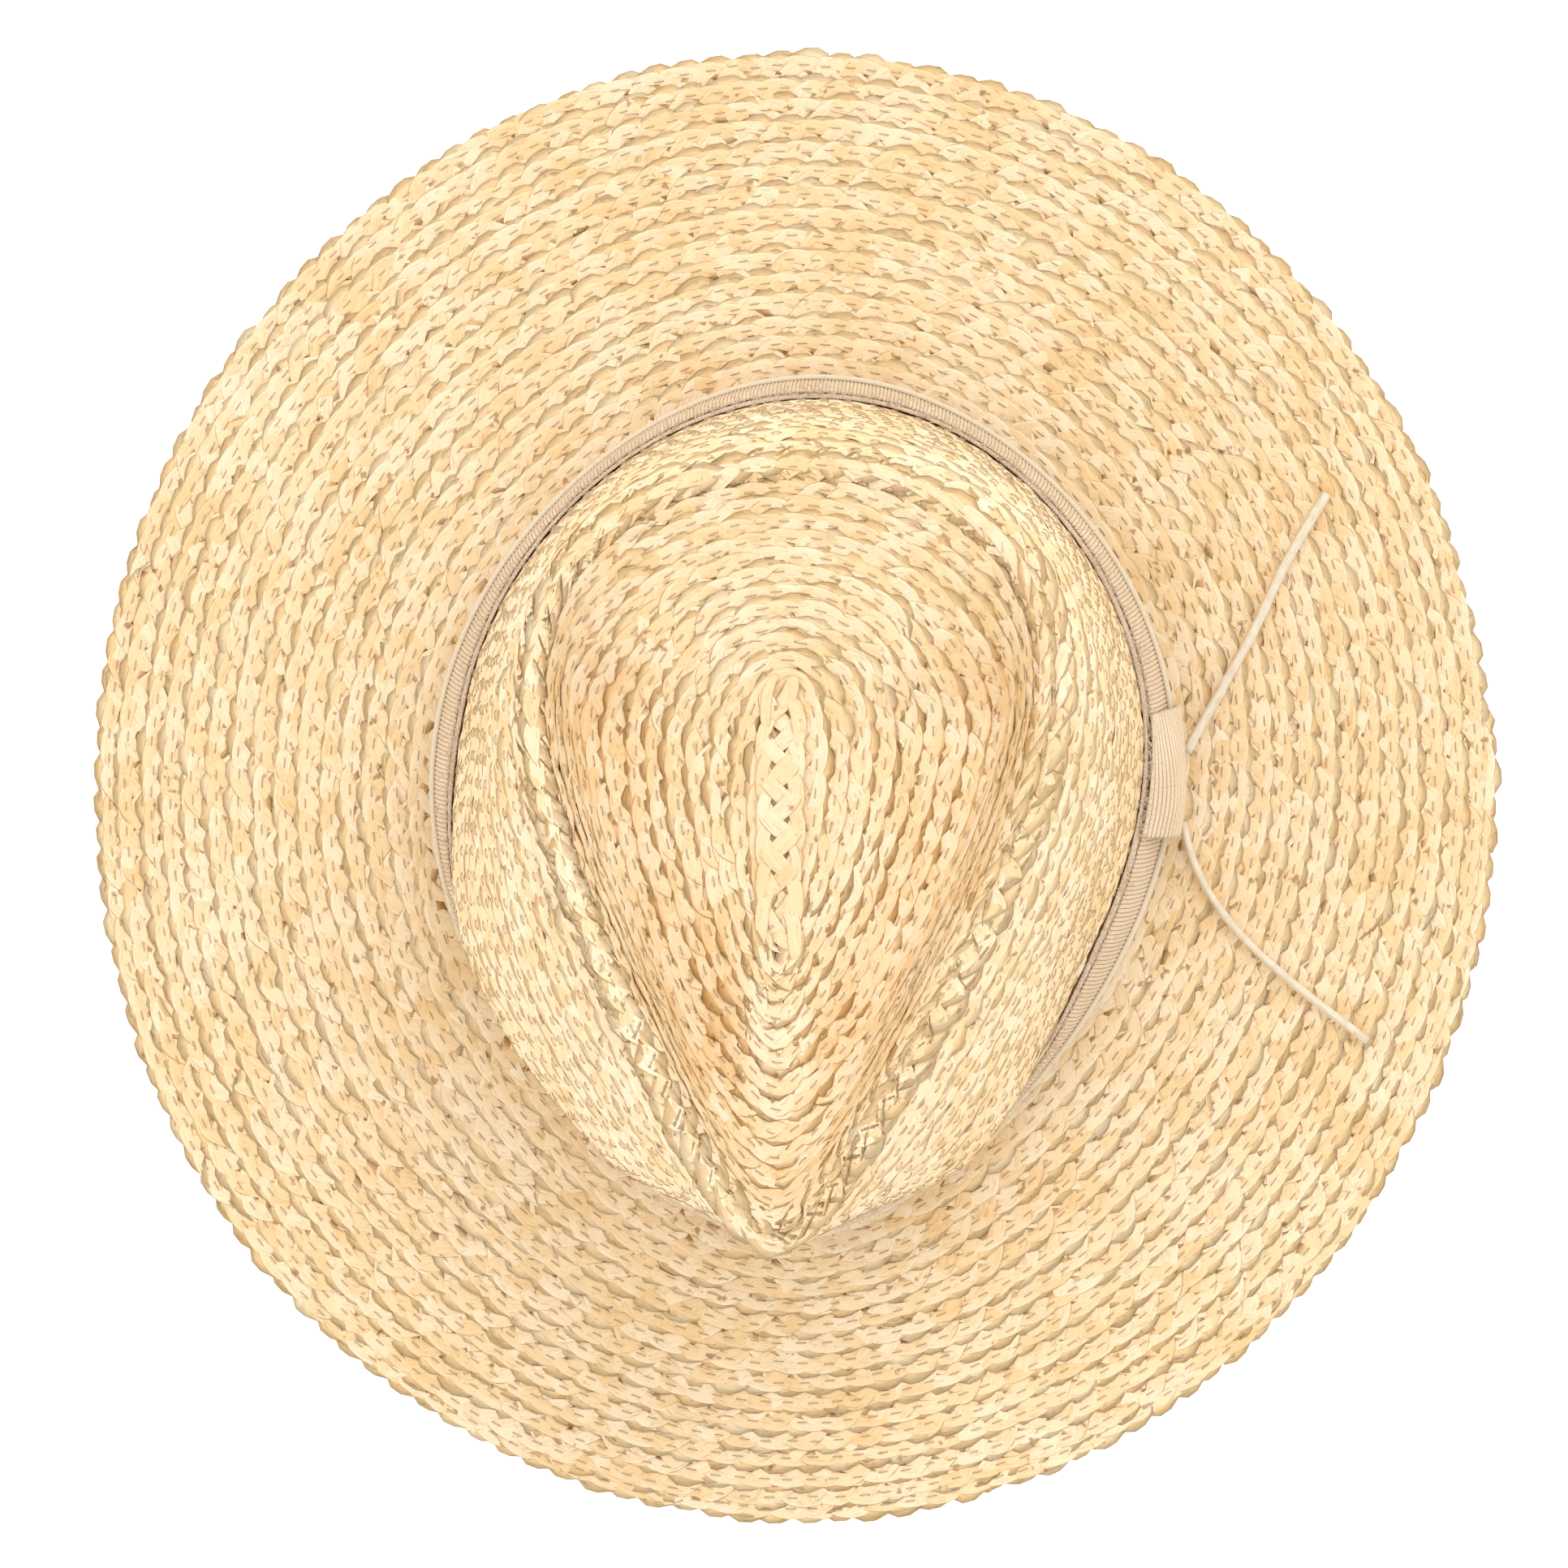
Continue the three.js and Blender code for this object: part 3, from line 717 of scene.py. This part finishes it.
def lace_loop(material):
    """The lace round the foot of the ribbon."""
    theta = around_hat(720)
    section = lace_section(LACE_THICK - 0.4, LACE_WIDE)[::-1]
    drift = ripple(theta, 0.35, parts=6)
    z = LACE_LOW + LACE_WIDE / 2 + 0.1 + drift.clip(-0.3, 0.5) + section[None, :, 1]
    outside = LACE_IN + LACE_THICK / 2 - 0.5 + section[None, :, 0] + 0.04 * ripple(theta, 1)
    band_piece("lace_loop_ring", "lace_loop", theta, z, outside, material, "lace")


def tack_pieces(material):
    """Each tack is two short turns of thread that hold the ribbon to the plait."""
    for i, degrees in enumerate(TACK_AT):
        share = np.linspace(0, 1, 9)
        lines, sides = [], []
        for offset in (-0.35, 0.35):
            theta = math.radians(degrees) + offset / 90 + 0.004 * np.sin(share * 3)
            z = mix(TACK_LOW, TACK_HIGH, share)
            outside = RIBBON["outer"] + 0.02 + 0.33 * np.sin(math.pi * share) ** 0.5
            line = wall.points(theta, z, outside)
            lines.append(line)
            sides.append(np.cross(np.gradient(line, axis=0), [0, 0, 1.0]) + 1e-6)
        section = circle(8, 0.2)
        points = tubes(np.array(lines), np.array(sides), section * np.ones((2, 9, 1, 1)))
        data = strand_data(share[None, :, None] * 3, section[:, 0], np.full((2, 1, 1), 0.5))
        make_piece(f"band_tack_{i + 1}_thread", points, tube_faces(2, 9, 8), material, data,
                   replaces=[f"band_tack_{i + 1}"])


def sweatband_piece(material):
    """The cloth band inside the head opening, with a rolled upper edge."""
    theta = around_hat(480)
    down = np.linspace(0, 1, 13)[None, :]
    z = mix(SWEATBAND["high"] + ripple(theta, 0.3), SWEATBAND["low"], down)
    puff = 0.12 * np.sin(theta * 60) * np.sin(math.pi * down) + ripple(theta, 0.15)
    roll = 0.25 * np.exp(-((down - 0.02) / 0.05) ** 2)
    inner = SWEATBAND["inner"] - roll + 0.1 * puff
    outer = SWEATBAND["outer"] - 0.1
    piece = band_piece("sweatband_cloth", "sweatband", theta, *closed_profile(z, outer, inner), material,
                       "sweatband")


def join_tape_piece(material):
    """The short tape over the sweatband's join at the back, a little pillowed."""
    theta = np.radians(np.linspace(JOIN_TAPE["start"], JOIN_TAPE["end"], 17))[:, None]
    down = np.linspace(0, 1, 13)[None, :]
    z = mix(JOIN_TAPE["high"], JOIN_TAPE["low"], down)
    across = np.linspace(-1, 1, 17)[:, None]
    pillow = 0.15 * (1 - across ** 4) * (1 - (2 * down - 1) ** 4)
    inner = JOIN_TAPE["inner"] + 0.15 - pillow
    piece = band_piece("sweatband_join_tape_cloth", "sweatband_join_tape", theta,
                       *closed_profile(z, JOIN_TAPE["outer"], inner), material, "sweatband", closed=False)


def plait_stitches(material):
    """The seam that joins each row of plait to the next, seen as small ticks near the row's outer edge."""
    spacing, length = 5.6, 2.4
    where = np.arange(30, spiral.length[-1] - 10, spacing) + rng.normal(0, 0.3, 1)
    share = np.linspace(0, 1, 4)[None, :]
    along = where[:, None] + length * share + rng.normal(0, 0.3, (len(where), 1))
    theta = np.interp(along, spiral.length, spiral.theta)
    row = np.interp(along, spiral.length, spiral.row)
    turns = np.interp(where, spiral.length, spiral.turns)
    lateral = 3.1 + rng.normal(0, 0.25, (len(where), 1))
    row = row + lateral / surface.widths(theta, row)
    normal = surface.normals(theta, row)
    height = SHINGLE * (lateral - SHOWN_MIDDLE) + 0.25 + 0.4 * np.sin(math.pi * share)
    line = surface.points(theta, row) + normal * height[..., None]
    section = circle(3, 0.15) * np.ones((*line.shape[:2], 1, 1))
    points = tubes(line, np.cross(normal, np.gradient(line, axis=1)), section).reshape(len(where), -1, 3)
    for name, chosen in (("crown_stitches", turns < TOP_ROWS + WALL_ROWS),
                         ("brim_stitches", turns >= TOP_ROWS + WALL_ROWS)):
        faces = tube_faces(int(chosen.sum()), 4, 3)
        make_piece(name, points[chosen], faces, material, np.full_like(points[chosen], 0.5))


def sweatband_stitches(material):
    """A row of running stitches near the sweatband's lower edge and one near its upper edge."""
    count, length, radius = 190, 1.9, 0.17
    share = np.linspace(0, 1, 5)[None, :]
    theta = around_hat(count) + length * share / 92
    outside = SWEATBAND["inner"] + 0.1 - 0.3 * np.sin(math.pi * share)
    line = np.concatenate([wall.points(theta, z, outside)
                           for z in (SWEATBAND["low"] + 1.6, SWEATBAND["high"] - 2.4)])
    side = np.cross(np.gradient(line, axis=1), [0.3, 0.2, 1.0])
    section = circle(4, radius)
    points = tubes(line, side, section * np.ones((*line.shape[:2], 1, 1)))
    data = strand_data(length * share[..., None], section[:, 0], np.full((len(line), 1, 1), 0.5))
    make_piece("sweatband_stitches", points, tube_faces(len(line), 5, 4), material, data)


def loose_fibres(material):
    """Stray ends of raffia that stand off the plait."""
    count = 110
    row = rng.uniform(8, ROWS - 1, count)
    theta = rng.uniform(0, TURN, count)
    normal = surface.normals(theta, row)
    root = surface.points(theta, row) + normal * 0.7
    around = unit(surface.points(theta + 0.01, row) - surface.points(theta - 0.01, row))
    across = np.cross(normal, around)
    direction = unit(around * rng.choice([-1, 1], (count, 1)) + across * rng.normal(0, 0.35, (count, 1))
                     + normal * rng.uniform(0.03, 0.25, (count, 1)))
    length = rng.gamma(3, 1.6, count).clip(2, 11)
    hair_piece("loose_fibres", root, direction, length, rng.uniform(0.08, 0.2, count),
               rng.uniform(0.02, 0.22, count), material)


# -------------------------------- materials

class Paint:
    """A procedural material under construction, and short ways to add the nodes used here."""

    def __init__(self, name, rough, specular, sheen=0.0):
        self.material = bpy.data.materials.new(name)
        self.material.use_nodes = True
        self.nodes, self.links = self.material.node_tree.nodes, self.material.node_tree.links
        self.shader = self.nodes["Principled BSDF"]
        for socket, value in (("Roughness", rough), ("Specular IOR Level", specular),
                              ("Sheen Weight", sheen), ("Sheen Roughness", 0.5)):
            self.shader.inputs[socket].default_value = value
        attribute = self.nodes.new("ShaderNodeAttribute")
        attribute.attribute_name = "strand"
        parts = self.nodes.new("ShaderNodeSeparateXYZ")
        self.links.new(attribute.outputs["Vector"], parts.inputs[0])
        self.along, self.across, self.seed = parts.outputs

    def put(self, value, socket):
        if isinstance(value, (int, float)):
            socket.default_value = value
        elif isinstance(value, str):
            socket.default_value = srgb(value)
        else:
            self.links.new(value, socket)

    def maths(self, operation, *values):
        node = self.nodes.new("ShaderNodeMath")
        node.operation = operation
        for value, socket in zip(values, node.inputs):
            self.put(value, socket)
        return node.outputs[0]

    def times(self, a, b):
        return self.maths("MULTIPLY", a, b)

    def plus(self, a, b):
        return self.maths("ADD", a, b)

    def waves(self, value):
        return self.maths("SINE", value)

    def noise(self, along, across, shift, detail=2.0):
        """Noise over a strand or band, stretched by how often it changes per millimetre each way."""
        place = self.nodes.new("ShaderNodeCombineXYZ")
        for axis, value, factor in (("X", self.along, along), ("Y", self.across, across),
                                    ("Z", self.seed, shift)):
            self.put(self.times(value, factor), place.inputs[axis])
        node = self.nodes.new("ShaderNodeTexNoise")
        node.inputs["Scale"].default_value = 1.0
        node.inputs["Detail"].default_value = detail
        self.links.new(place.outputs[0], node.inputs["Vector"])
        return node.outputs["Fac"]

    def patches(self, scale, detail=2.0):
        """Noise over the whole hat, in changes per metre."""
        place = self.nodes.new("ShaderNodeTexCoord")
        node = self.nodes.new("ShaderNodeTexNoise")
        node.inputs["Scale"].default_value = scale
        node.inputs["Detail"].default_value = detail
        self.links.new(place.outputs["Object"], node.inputs["Vector"])
        return node.outputs["Fac"]

    def ramp(self, value, stops):
        node = self.nodes.new("ShaderNodeValToRGB")
        elements = node.color_ramp.elements
        while len(elements) < len(stops):
            elements.new(0.5)
        for element, (position, colour) in zip(elements, stops):
            element.position = position
            element.color = srgb(colour) if isinstance(colour, str) else (colour, colour, colour, 1)
        self.put(value, node.inputs["Fac"])
        return node.outputs["Color"]

    def blend(self, factor, a, b, kind="MIX"):
        node = self.nodes.new("ShaderNodeMix")
        node.data_type = "RGBA"
        node.blend_type = kind
        self.put(factor, node.inputs["Factor"])
        self.put(a, node.inputs["A"])
        self.put(b, node.inputs["B"])
        return node.outputs["Result"]

    def finish(self, colour, height=None, strength=0.4, depth=0.0002, rough=None):
        self.put(colour, self.shader.inputs["Base Color"])
        if rough is not None:
            self.put(rough, self.shader.inputs["Roughness"])
        if height is not None:
            bump = self.nodes.new("ShaderNodeBump")
            bump.inputs["Strength"].default_value = strength
            bump.inputs["Distance"].default_value = depth
            self.links.new(height, bump.inputs["Height"])
            self.links.new(bump.outputs["Normal"], self.shader.inputs["Normal"])
        return self.material


def srgb(text):
    """A colour in the light's own scale, from its six hex digits."""
    values = [int(text[i:i + 2], 16) / 255 for i in (0, 2, 4)]
    return (*(v / 12.92 if v <= 0.04045 else ((v + 0.055) / 1.055) ** 2.4 for v in values), 1)


def raffia_material():
    """Pale dried leaf: a tint for each strand, streaks and thin splits along it, and flecks; the brown
    along the leaves' edges is painted shade where one leaf meets the next.
    """
    paint = Paint("raffia", 0.6, 0.3)
    fine = paint.noise(0.22, 5.5, 917.0, 3.0)
    broad = paint.noise(0.09, 0.9, 917.0)
    tone = paint.plus(paint.times(paint.seed, 0.5), paint.times(broad, 0.6))
    tone = paint.plus(tone, paint.times(paint.patches(34.0), 0.7))
    tone = paint.maths("SUBTRACT", tone, 0.4)
    # The darkest stops also colour the under parts' low seeds, and there they are painted shade.
    tint = paint.ramp(tone, [(0.0, "efca92"), (0.2, "f2d09c"), (0.38, "f5d8aa"), (0.6, "f8e0b9"),
                             (0.95, "fbe9c9")])
    streaks = paint.ramp(fine, [(0.28, "e2b884"), (0.42, 1.0), (0.8, 1.0)])
    tint = paint.blend(0.5, tint, streaks, "MULTIPLY")
    # Brown along the leaves' edges, broken by noise: painted shade where one leaf meets the next.
    edge = paint.times(paint.maths("ABSOLUTE", paint.across), 1 / LEAF_EDGE)
    edge = paint.ramp(edge, [(0.0, 0.0), (0.9, 0.0), (0.985, 1.0)])
    broken = paint.ramp(paint.noise(0.5, 0.6, 331.0), [(0.42, 0.0), (0.58, 1.0)])
    split = paint.maths("ABSOLUTE", paint.maths("SUBTRACT", paint.noise(0.13, 1.5, 611.0), 0.5))
    split = paint.ramp(split, [(0.0, 0.55), (0.012, 0.4), (0.03, 0.0)])
    # The painted edge shade and the real splits are blended towards brown together.
    painted_edge_shade_and_splits = paint.maths("MAXIMUM", paint.times(edge, broken), paint.times(split, broken))
    tint = paint.blend(paint.times(painted_edge_shade_and_splits, 0.65), tint, "b07a38")
    flecks = paint.ramp(paint.patches(300.0), [(0.68, 0.0), (0.75, 1.0)])
    tint = paint.blend(paint.times(flecks, 0.7), tint, "9a6534")
    rough = paint.plus(paint.times(fine, 0.3), 0.42)
    return paint.finish(tint, fine, 0.25, 0.0002, rough)


def ribbon_material():
    """Grosgrain: painted shade between its modelled ribs, and the threads of each rib are streaks along it.
    """
    paint = Paint("ribbon", 0.62, 0.3, 0.1)
    rib = paint.maths("ABSOLUTE", paint.waves(paint.times(paint.along, math.pi / RIB)))
    threads = paint.noise(1.2, 6.0, 1.0, 3.0)
    tint = paint.ramp(threads, [(0.3, "e0c9a8"), (0.5, "ecd8ba"), (0.75, "f4e4cb")])
    # Painted shade: darker brown in the hollows between the modelled ribs, on the ribbon and its keeper.
    tint = paint.blend(1.0, tint, paint.ramp(rib, [(0.0, "a88459"), (0.55, 1.0)]), "MULTIPLY")
    wear = paint.ramp(paint.patches(60.0), [(0.35, "dcc6a8"), (0.65, 1.0)])
    tint = paint.blend(0.25, tint, wear, "MULTIPLY")
    return paint.finish(tint, threads, 0.4, 0.00012)


def canvas_material():
    """Coarse plain weave, a little pink, with uneven threads."""
    paint = Paint("canvas", 0.8, 0.2, 0.15)
    warp = paint.waves(paint.times(paint.along, TURN / 0.9))
    weft = paint.waves(paint.times(paint.across, TURN / 0.9))
    weave = paint.maths("MULTIPLY_ADD", paint.times(warp, weft), 0.3, paint.noise(1.8, 1.8, 40.0))
    tint = paint.ramp(weave, [(0.2, "d8bd9e"), (0.5, "ead3b6"), (0.8, "f8ead6")])
    return paint.finish(tint, weave, 0.6, 0.0003)


def lace_material():
    """Smooth pale leather with slight unevenness."""
    paint = Paint("lace", 0.5, 0.35)
    grain = paint.noise(0.5, 1.6, 77.0, 3.0)
    tint = paint.ramp(grain, [(0.3, "dccbae"), (0.5, "e6d8be"), (0.7, "eee3ce")])
    return paint.finish(tint, grain, 0.2, 0.00015, paint.plus(paint.times(grain, 0.2), 0.4))


def thread_material():
    """Twisted sewing thread: slanting plies."""
    paint = Paint("thread", 0.6, 0.3)
    twist = paint.waves(paint.plus(paint.times(paint.along, 9.0), paint.times(paint.across, 12.0)))
    tint = paint.ramp(paint.maths("MULTIPLY_ADD", twist, 0.4, 0.5),
                      [(0.0, "bfa47c"), (0.5, "d8c29c"), (1.0, "e6d6b8")])
    return paint.finish(tint, twist, 0.3, 0.0001)


def sweatband_material():
    """Soft cotton twill: fine slanting ribs."""
    paint = Paint("sweatband", 0.8, 0.2, 0.2)
    slant = paint.waves(paint.times(paint.plus(paint.along, paint.across), TURN / 0.8))
    cloth = paint.maths("MULTIPLY_ADD", slant, 0.2, paint.noise(1.5, 1.5, 20.0))
    tint = paint.ramp(cloth, [(0.2, "c3b08c"), (0.5, "d6c6a4"), (0.85, "e2d5ba")])
    return paint.finish(tint, cloth, 0.4, 0.00015)


# -------------------------------- studio

def make_camera():
    """Straight above the hat, with its back up in the picture, from a studio stand's height."""
    height = 1500.0
    view_side = 381.0
    camera = bpy.data.objects.new("camera", bpy.data.cameras.new("camera"))
    camera.data.sensor_width = 36
    camera.data.lens = camera.data.sensor_width * height / view_side
    camera.data.clip_start = 0.05
    camera.location = Vector((-2.8, 0.8, height)) * MM
    bpy.context.scene.collection.objects.link(camera)
    bpy.context.scene.camera = camera


def make_light(name, place, size, power):
    light = bpy.data.objects.new(name, bpy.data.lights.new(name, "AREA"))
    light.data.shape = "DISK"
    light.data.size = size
    light.data.energy = power
    light.location = place
    light.rotation_mode = "QUATERNION"
    light.rotation_quaternion = Vector(place).to_track_quat("Z", "Y")
    bpy.context.scene.collection.objects.link(light)


def make_studio():
    floor_mesh = bpy.data.meshes.new("floor")
    side = 6.0
    floor_mesh.from_pydata([(-side, -side, 0), (side, -side, 0), (side, side, 0), (-side, side, 0)], [],
                           [(0, 1, 2, 3)])
    floor = bpy.data.objects.new("floor", floor_mesh)
    floor.location.z = -0.2 * MM
    paint = bpy.data.materials.new("floor")
    paint.use_nodes = True
    shader = paint.node_tree.nodes["Principled BSDF"]
    shader.inputs["Base Color"].default_value = (0.97, 0.97, 0.97, 1)
    shader.inputs["Roughness"].default_value = 0.9
    shader.inputs["Emission Color"].default_value = (1, 1, 1, 1)
    shader.inputs["Emission Strength"].default_value = 0.35
    floor_mesh.materials.append(paint)
    bpy.context.scene.collection.objects.link(floor)
    make_light("key", (0.6, 1.3, 1.7), 1.3, 11)
    make_light("fill", (-1.2, -0.4, 1.9), 1.8, 5)
    world = bpy.data.worlds.new("world")
    bpy.context.scene.world = world
    world.use_nodes = True
    world.node_tree.nodes["Background"].inputs["Color"].default_value = (1, 1, 1, 1)
    world.node_tree.nodes["Background"].inputs["Strength"].default_value = 1.05
    bpy.context.scene.view_settings.view_transform = "Standard"


make_camera()
lace = lace_material()
for tail in LACE_TAILS:
    lace_tail(tail, lace)
raffia, ribbon, canvas, thread, cotton = (raffia_material(), ribbon_material(), canvas_material(),
                                          thread_material(), sweatband_material())
plait_pieces(raffia)
plait_stitches(thread)
loose_fibres(raffia)
underlay_piece(canvas)
canvas_fray(canvas)
ribbon_piece(ribbon)
lace_loop(lace)
keeper_piece(ribbon)
tack_pieces(thread)
sweatband_piece(cotton)
join_tape_piece(cotton)
sweatband_stitches(thread)
make_studio()
